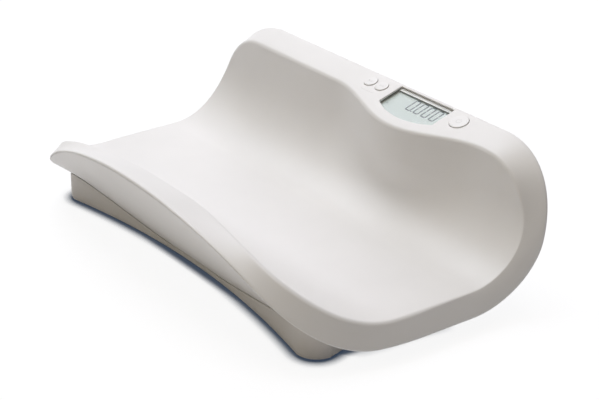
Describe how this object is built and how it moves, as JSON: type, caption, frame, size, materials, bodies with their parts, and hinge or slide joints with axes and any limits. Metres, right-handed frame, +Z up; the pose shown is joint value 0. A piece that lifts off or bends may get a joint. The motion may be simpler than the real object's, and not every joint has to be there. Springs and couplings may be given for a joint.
{
  "type": "digital baby weighing scale",
  "caption": "Cradle-shaped baby scale: a long curved tray with a sloping display ledge, carried by a load cell on a low waisted base with rubber feet.",
  "frame": {"origin": "on the table, under the middle of the tray's box", "axes": "+Z up, +X to the right as the user faces the display, +Y towards the high back wall"},
  "size_m": [0.5502, 0.331, 0.1551],
  "materials": {
    "shell_white": "satin moulded",
    "base_white": "fine moulded texture",
    "key_white": "satin",
    "lens_clear": "clear gloss",
    "print_light": "printed film",
    "lcd_grey": "liquid crystal",
    "inner_white": "moulded",
    "rubber_dark": "matt",
    "rubber_light": "silicone",
    "board_green": "solder mask",
    "parts_dark": "moulded",
    "steel_plate": "zinc plated",
    "steel_screw": "plated",
    "alloy": "machined",
    "gauge_gum": "sealant",
    "foot_rubber": "matt",
    "cell_jacket": "shrink film",
    "contact_metal": "nickel plated",
    "lead_grey": "sleeve",
    "lead_red": "sleeve"
  },
  "bodies": {
    "base": {"base_shell": "base_white", "base_plate": "steel_plate", "plate_screws": "steel_screw", "cell_pedestal": "steel_plate", "cell_base_screws": "steel_screw", "load_cell": "alloy", "gauge_coating": "gauge_gum", "overload_stops": "rubber_dark", "rubber_feet": "foot_rubber"},
    "tray": {"upper_shell": "shell_white", "lower_shell": "shell_white", "display_lens": "lens_clear", "print_strip": "print_light", "lcd_cell": "lcd_grey", "lcd_holder": "inner_white", "zebra_strip": "rubber_dark", "main_board": "board_green", "board_parts": "parts_dark", "board_screws": "steel_screw", "buzzer": "parts_dark", "dome_left": "rubber_light", "dome_right": "rubber_light", "dome_power": "rubber_light", "tray_frame": "steel_plate", "frame_screws": "steel_screw", "case_screws": "steel_screw", "cell_spacer": "steel_plate", "cell_top_screws": "steel_screw", "battery_tub": "inner_white", "battery_cells": "cell_jacket", "battery_contacts": "contact_metal", "cell_lead": "lead_grey", "battery_lead": "lead_red"},
    "key_left": {"key_left": "key_white"},
    "key_right": {"key_right": "key_white"},
    "key_power": {"key_power": "key_white"},
    "battery_door": {"battery_door": "shell_white"}
  },
  "joints": [
    {"name": "tray_sink", "type": "slide", "parent": "base", "child": "tray", "axis": [0, 0, 1], "range_m": [-0.0006, 0], "stiffness_N_per_m": 120000, "springref_m": 0.00015, "deforming": ["load_cell", "gauge_coating"]},
    {"name": "press_left", "type": "slide", "parent": "tray", "child": "key_left", "axis": [0, 0.2924, -0.9563], "range_m": [0, 0.001], "stiffness_N_per_m": 1500, "springref_m": -0.0003, "deforming": ["dome_left"]},
    {"name": "press_right", "type": "slide", "parent": "tray", "child": "key_right", "axis": [0, 0.2924, -0.9563], "range_m": [0, 0.001], "stiffness_N_per_m": 1500, "springref_m": -0.0003, "deforming": ["dome_right"]},
    {"name": "press_power", "type": "slide", "parent": "tray", "child": "key_power", "axis": [0, 0.2924, -0.9563], "range_m": [0, 0.001], "stiffness_N_per_m": 1500, "springref_m": -0.0003, "deforming": ["dome_power"]},
    {"name": "door_slide", "type": "slide", "parent": "tray", "child": "battery_door", "axis": [1, 0, 0], "range_m": [0, 0.009]}
  ]
}
